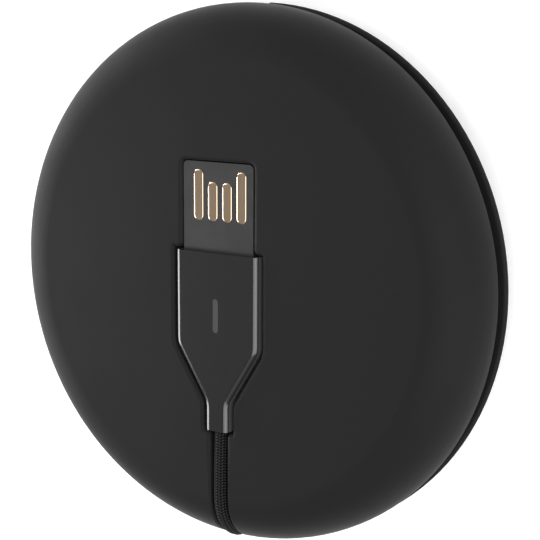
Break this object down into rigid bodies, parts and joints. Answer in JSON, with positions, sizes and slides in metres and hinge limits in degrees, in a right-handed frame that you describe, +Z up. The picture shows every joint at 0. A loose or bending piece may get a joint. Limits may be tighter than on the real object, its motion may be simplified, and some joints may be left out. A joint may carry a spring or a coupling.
{
  "type": "charging cable with winding case",
  "caption": "Round dark case that stores a braided charging cable in the gap between two saucers, with a slim flat plug docked in its front face and a light in the plug.",
  "frame": {"origin": "centre of the flat rear face, on which the case lies", "axes": "+Z up through the front face, +Y the way the docked plug points, +X to the right seen from the front"},
  "size_m": [0.08, 0.0801, 0.0187],
  "materials": {
    "soft_touch_shell": "soft-touch matte",
    "winding_plate": "matte",
    "screw_steel": "zinc plated",
    "plug_metal": "satin dark grey",
    "tongue_plastic": "satin",
    "contact_metal": "pale gold plating",
    "circuit_board": "solder mask",
    "led_body": "clear",
    "lens_plastic": "frosted",
    "holder_plastic": "matte",
    "ferrule_metal": "plain",
    "tip_steel": "satin",
    "red_wire": "plain",
    "white_wire": "plain",
    "green_wire": "plain",
    "black_wire": "plain",
    "braid": "woven"
  },
  "bodies": {
    "root": {"front_shell": "soft_touch_shell", "rear_shell": "soft_touch_shell", "front_plate": "winding_plate", "rear_plate": "winding_plate", "hub_screws": "screw_steel", "plug_shell": "plug_metal", "connector_shell": "plug_metal", "plug_tongue": "tongue_plastic", "upper_power_contact": "contact_metal", "upper_data_minus_contact": "contact_metal", "upper_data_plus_contact": "contact_metal", "upper_ground_contact": "contact_metal", "lower_power_contact": "contact_metal", "lower_data_minus_contact": "contact_metal", "lower_data_plus_contact": "contact_metal", "lower_ground_contact": "contact_metal", "connector_upper_contacts": "contact_metal", "connector_lower_contacts": "contact_metal", "plug_board": "circuit_board", "connector_board": "circuit_board", "indicator_led": "led_body", "indicator_lens": "lens_plastic", "plug_insert": "holder_plastic", "connector_insert": "holder_plastic", "connector_core": "holder_plastic", "plug_ferrule": "ferrule_metal", "connector_ferrule": "ferrule_metal", "connector_tip": "tip_steel", "plug_power_wire": "red_wire", "connector_power_wire": "red_wire", "plug_data_minus_wire": "white_wire", "connector_data_minus_wire": "white_wire", "plug_data_plus_wire": "green_wire", "connector_data_plus_wire": "green_wire", "plug_ground_wire": "black_wire", "connector_ground_wire": "black_wire", "cable_lead": "braid", "cable_coil": "braid", "cable_middle": "braid", "cable_tail": "braid"}
  },
  "joints": []
}
